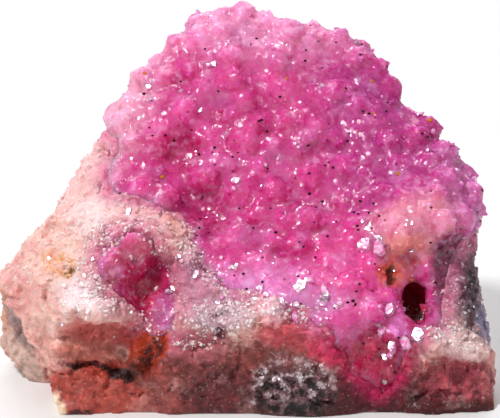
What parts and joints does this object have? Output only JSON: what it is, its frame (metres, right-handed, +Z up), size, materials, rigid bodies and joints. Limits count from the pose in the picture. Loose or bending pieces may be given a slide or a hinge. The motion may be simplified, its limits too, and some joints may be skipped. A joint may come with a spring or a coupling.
{
  "type": "pink calcite crystal specimen on rock matrix",
  "caption": "Hand specimen of pink calcite crystals crusting the hollow face of a pale rock, with a small crystal pocket at the side and a flat foot to stand on.",
  "frame": {"origin": "centre of the bounding box at the level of the foot", "axes": "+X across the crystal face, to the right as it is looked at; -Y out of the crystal face; +Z up from the foot"},
  "size_m": [0.0696, 0.0412, 0.0513],
  "materials": {
    "host_rock": "rough broken rock, pale pink above, stained red-brown below",
    "crystal_crust": "glassy pink translucent crystals",
    "pocket_crust": "glassy dark pink translucent crystals"
  },
  "bodies": {
    "root": {"host_rock": "host_rock", "crystal_crust": "crystal_crust", "pocket_crust": "pocket_crust"}
  },
  "joints": []
}
